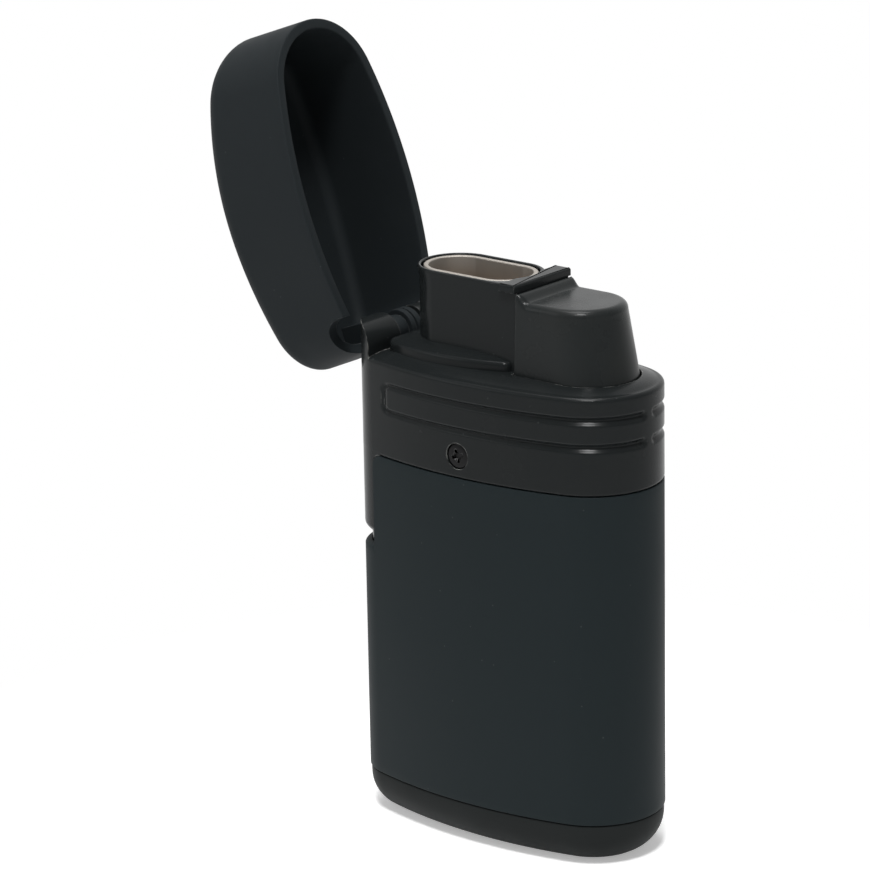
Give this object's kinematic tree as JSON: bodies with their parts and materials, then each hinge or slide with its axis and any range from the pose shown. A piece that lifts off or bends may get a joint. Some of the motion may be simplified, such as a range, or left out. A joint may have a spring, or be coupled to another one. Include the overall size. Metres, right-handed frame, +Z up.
{
  "type": "pocket lighter",
  "caption": "Flip-top jet-flame pocket lighter: hinged lid, shrouded burner, thumb button that opens the gas valve and fires the igniter, filling valve and flame adjuster in the base",
  "frame": {"origin": "middle of the base's underside, on the plane the lighter stands on", "axes": "+X towards the rounded nose under the thumb button, -X the hinge end, +Y the back, +Z up; lid drawn open"},
  "size_m": [0.0622, 0.0204, 0.0959],
  "materials": {
    "lid_black": "moulded, fine satin grain",
    "collar_black": "moulded, fine satin grain",
    "skin_black": "soft matte coat",
    "button_black": "moulded, polished by wear",
    "screw_black": "black oxide",
    "burner_steel": "drawn, heat stained",
    "spring_steel": "drawn wire",
    "pin_steel": "ground",
    "turned_brass": "turned",
    "ceramic_white": "glazed ceramic",
    "seal_rubber": "moulded",
    "lead_red": "extruded sleeve",
    "tank_grey": "moulded, smoke grey",
    "igniter_grey": "moulded",
    "plunger_white": "moulded"
  },
  "bodies": {
    "body": {"hinge_pin": "pin_steel", "hinge_spring": "spring_steel", "head_collar": "collar_black", "collar_screws": "screw_black", "burner_shroud": "collar_black", "nozzle_sleeve": "burner_steel", "jet_block": "turned_brass", "jet_tubes": "turned_brass", "jet_screens": "burner_steel", "gas_manifold": "turned_brass", "gas_tube": "plunger_white", "electrode": "pin_steel", "electrode_insulator": "ceramic_white", "ignition_lead": "lead_red", "piezo_case": "igniter_grey", "piezo_spring": "spring_steel", "mech_frame": "igniter_grey", "valve_body": "turned_brass", "valve_spring": "spring_steel", "valve_seal": "seal_rubber", "lever_pin": "pin_steel", "fuel_tank": "tank_grey", "tank_top": "tank_grey", "fill_valve_body": "turned_brass", "fill_valve_spring": "spring_steel", "fill_valve_seal": "seal_rubber", "adjuster_seal": "seal_rubber", "skin_sleeve": "skin_black", "base_cap": "collar_black"},
    "lid": {"lid_shell": "lid_black"},
    "button": {"thumb_button": "button_black", "piezo_plunger": "plunger_white"},
    "lever": {"valve_lever": "pin_steel"},
    "stem": {"valve_stem": "turned_brass"},
    "fill_stem": {"fill_valve_stem": "plunger_white"},
    "adjuster": {"adjuster_screw": "turned_brass"}
  },
  "joints": [
    {"name": "lid_hinge", "type": "hinge", "parent": "body", "child": "lid", "pos_m": [-0.0189, 0, 0.059], "axis": [0, 1, 0], "range_deg": [0, 109.2]},
    {"name": "button_press", "type": "slide", "parent": "body", "child": "button", "axis": [0, 0, -1], "range_m": [0, 0.003], "stiffness_N_per_m": 3000, "deforming": ["piezo_spring"]},
    {"name": "lever_swing", "type": "hinge", "parent": "body", "child": "lever", "pos_m": [-0.0027, 0, 0.0457], "axis": [0, 1, 0], "range_deg": [0, 24]},
    {"name": "stem_lift", "type": "slide", "parent": "body", "child": "stem", "axis": [0, 0, 1], "range_m": [0, 0.0011], "deforming": ["valve_spring"]},
    {"name": "fill_push", "type": "slide", "parent": "body", "child": "fill_stem", "axis": [0, 0, 1], "range_m": [0, 0.001], "stiffness_N_per_m": 400, "deforming": ["fill_valve_spring"]},
    {"name": "adjuster_turn", "type": "hinge", "parent": "body", "child": "adjuster", "pos_m": [-0.006, 0, 0], "axis": [0, 0, 1], "range_deg": [-120, 120]}
  ],
  "couplings": [
    {"joint": "lever_swing", "follows": "button_press", "rad_per_m": 139.63},
    {"joint": "stem_lift", "follows": "button_press", "ratio": 0.36667}
  ]
}
